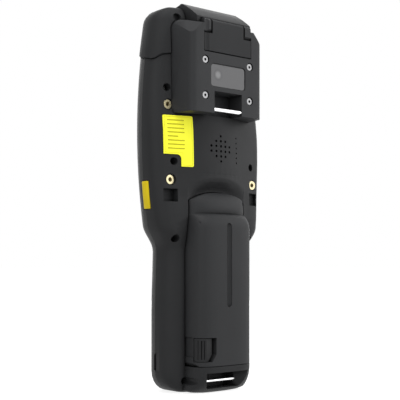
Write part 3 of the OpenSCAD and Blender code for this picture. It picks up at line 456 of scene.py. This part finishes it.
def bulge(x):
    """Height of the centre bulge over the shoulders at the sideways distance x."""
    if x > SHOULDER_X:
        return 0
    if x > CROWN_X:
        return (SHOULDER_X - x) * math.tan(HEAD_SLOPE)
    side = (SHOULDER_X - CROWN_X) * math.tan(HEAD_SLOPE)
    return side + math.sqrt(CROWN_R ** 2 - x ** 2) - CROWN_R * math.cos(HEAD_SLOPE)


def dipped_housing():
    """The rear housing with its back dipping softly towards the arched battery cover."""
    bm = merged("rear_housing")
    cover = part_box("battery_cover")[1]
    half, top = cover.x + 0.35 * MM, cover.z

    def distance(co):
        return bay_distance(co.x, co.z, half, top)

    def near(co):
        return co.y > BACK_FROM_Y and co.z > DIP_FADE[0] and -0.5 * MM < distance(co) < RIDGE[1] + MM

    for _ in range(5):
        long = [e for e in bm.edges if e.calc_length() > FINE_EDGE
                and any(near(e.verts[0].co.lerp(e.verts[1].co, k / 6)) for k in range(7))]
        if not long:
            break
        bmesh.ops.subdivide_edges(bm, edges=long, cuts=1)
        bmesh.ops.triangulate(bm, faces=[f for f in bm.faces if len(f.verts) > 3])
    for v in bm.verts:
        gap = distance(v.co)
        if v.co.y > BACK_FROM_Y and gap > -0.5 * MM and any(f.normal.y > 0.4 for f in v.link_faces):
            share = (1 - ease(*DIP_WIDTH, gap)) * ease(*DIP_FADE, v.co.z)
            beside = ease(half - 9 * MM, half + 2 * MM, abs(v.co.x))
            rise = ease(*BULGE_EDGE, gap) - ease(top + RIDGE[0], top + RIDGE[1], v.co.z)
            if v.co.z < top + RIDGE[1] and gap < RIDGE[1] + 2 * MM:
                v.co.y += rise * bulge(abs(v.co.x))
            v.co.y -= share * (DIP_DEPTH[1] + (DIP_DEPTH[0] - DIP_DEPTH[1]) * beside)
    bmesh.ops.recalc_face_normals(bm, faces=bm.faces)
    return in_place("rear_housing", bm)


LEGENDS = {
    "key_0_0": "-", "key_0_1": "0", "key_0_2": ".",
    "key_1_0": "7", "key_1_1": "8", "key_1_2": "9",
    "key_2_0": "4", "key_2_1": "5", "key_2_2": "6",
    "key_3_0": "1", "key_3_1": "2", "key_3_2": "3",
}
LEGEND_SIZE = 4.4 * MM
LEGEND_THICK = 0.04 * MM


def legends():
    """White digits printed on the number keys."""
    n = Nodes("legend_white")
    white = n.blend(n.noise(0.003), (0.75, 0.75, 0.75, 1), (0.82, 0.82, 0.82, 1))
    n.surface(Base_Color=white, Roughness=0.5)
    for key, digit in LEGENDS.items():
        low, high = (Vector(corner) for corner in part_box(key))
        words = bpy.data.curves.new(f"legend_{key}", "FONT")
        words.body = digit
        words.size = LEGEND_SIZE
        words.extrude = LEGEND_THICK / 2
        words.align_x = "CENTER"
        words.align_y = "CENTER"
        sign = bpy.data.objects.new(f"legend_{key}", words)
        bm = bmesh.new()
        bm.from_mesh(sign.to_mesh())
        sign.to_mesh_clear()
        bpy.data.objects.remove(sign)
        bpy.data.curves.remove(words)
        bmesh.ops.remove_doubles(bm, verts=bm.verts, dist=1e-7)
        bmesh.ops.recalc_face_normals(bm, faces=bm.faces)
        spans = [[v.co[i] for v in bm.verts] for i in (0, 1)]
        middle = Vector(((min(spans[0]) + max(spans[0])) / 2, (min(spans[1]) + max(spans[1])) / 2, 0))
        seat = Vector(((low.x + high.x) / 2, low.y, (low.z + high.z) / 2))
        turn = Matrix.Rotation(math.radians(90), 4, "X")
        upright = Matrix.Translation(seat) @ turn @ Matrix.Translation(-middle)
        bmesh.ops.transform(bm, matrix=upright, verts=bm.verts)
        piece(f"legend_{key}", bm, n.material, body_of(NODES[key])[0])


# ---------------------------------------------------------------- stage


def world_light(share):
    """White for the camera and for gloss, and a share of that on the surfaces."""
    world = bpy.data.worlds.new("studio")
    bpy.context.scene.world = world
    world.use_nodes = True
    tree = world.node_tree
    path = tree.nodes.new("ShaderNodeLightPath")
    seen = tree.nodes.new("ShaderNodeMath")
    seen.operation = "MAXIMUM"
    tree.links.new(path.outputs["Is Camera Ray"], seen.inputs[0])
    clear = tree.nodes.new("ShaderNodeMath")
    clear.operation = "MAXIMUM"
    tree.links.new(path.outputs["Is Glossy Ray"], clear.inputs[0])
    tree.links.new(path.outputs["Is Transmission Ray"], clear.inputs[1])
    tree.links.new(clear.outputs[0], seen.inputs[1])
    strength = tree.nodes.new("ShaderNodeMapRange")
    tree.links.new(seen.outputs[0], strength.inputs["Value"])
    strength.inputs["To Min"].default_value = share
    strength.inputs["To Max"].default_value = 1.0
    background = tree.nodes["Background"]
    background.inputs["Color"].default_value = (1, 1, 1, 1)
    tree.links.new(strength.outputs["Result"], background.inputs["Strength"])


def softbox(name, place, aim, width, height, power):
    """A rectangular lamp at place that faces aim."""
    lamp = bpy.data.lights.new(name, "AREA")
    lamp.shape = "RECTANGLE"
    lamp.size, lamp.size_y, lamp.energy = width, height, power
    box = bpy.data.objects.new(name, lamp)
    bpy.context.scene.collection.objects.link(box)
    box.location = place
    box.rotation_mode = "QUATERNION"
    box.rotation_quaternion = (Vector(aim) - Vector(place)).to_track_quat("-Z", "Y")


def floor():
    """Pale floor that keeps the shadow and looks white away from it."""
    bm = bmesh.new()
    bmesh.ops.create_circle(bm, cap_ends=True, segments=64, radius=12)
    mesh = bpy.data.meshes.new("floor")
    bm.to_mesh(mesh)
    bm.free()
    sheet = bpy.data.objects.new("floor", mesh)
    bpy.context.scene.collection.objects.link(sheet)
    n = Nodes("floor_white")
    path = n.add("ShaderNodeLightPath").outputs
    seen = n.math("MAXIMUM", path["Is Camera Ray"], path["Is Glossy Ray"])
    n.surface(
        Base_Color=(0.5, 0.5, 0.5, 1),
        Roughness=1.0,
        Specular_IOR_Level=0.0,
        Emission_Color=(1, 1, 1, 1),
        Emission_Strength=n.spread(n.math("MAXIMUM", seen, path["Is Transmission Ray"]), 0.0, 0.85),
    )
    mesh.materials.append(n.material)


def camera():
    """The eye at a level view of the part's back and right side."""
    lens = bpy.data.cameras.new("camera")
    lens.sensor_width = 36
    lens.lens = 83.7
    lens.shift_y = 0.1575
    lens.clip_start = 0.01
    eye = bpy.data.objects.new("camera", lens)
    bpy.context.scene.collection.objects.link(eye)
    eye.location = (0.3405, 0.4015, 0.0716)
    eye.rotation_mode = "QUATERNION"
    eye.rotation_quaternion = Vector((-0.6428, -0.7660, 0)).to_track_quat("-Z", "Y")
    bpy.context.scene.camera = eye


def studio():
    """Floor, camera and four soft lamps in a white room."""
    middle = (0, 0, 0.11)
    world_light(0.35)
    softbox("right_box", (-0.75, 0.85, 0.5), middle, 1.6, 1.0, 6.8)
    softbox("left_box", (0.8, 0.55, 0.4), middle, 0.6, 0.8, 1.6)
    softbox("top_box", (0.2, 0.3, 0.9), middle, 0.6, 0.6, 4.2)
    softbox("front_box", (-0.6, -0.9, 0.5), middle, 1.4, 1.0, 6)
    floor()
    camera()


dress_nodes()
for name in NODES:
    if name.startswith("key_"):
        softened(name, 0.6 * MM)
for name in ("soft_key_left", "soft_key_right", "scan_key", "side_key_left", "side_key_right"):
    softened(name, 0.5 * MM)
softened("nav_ring", 0.4 * MM)
softened("battery_latch", 0.25 * MM)
dipped_housing()
legends()
studio()
bpy.context.scene.view_settings.view_transform = "Standard"
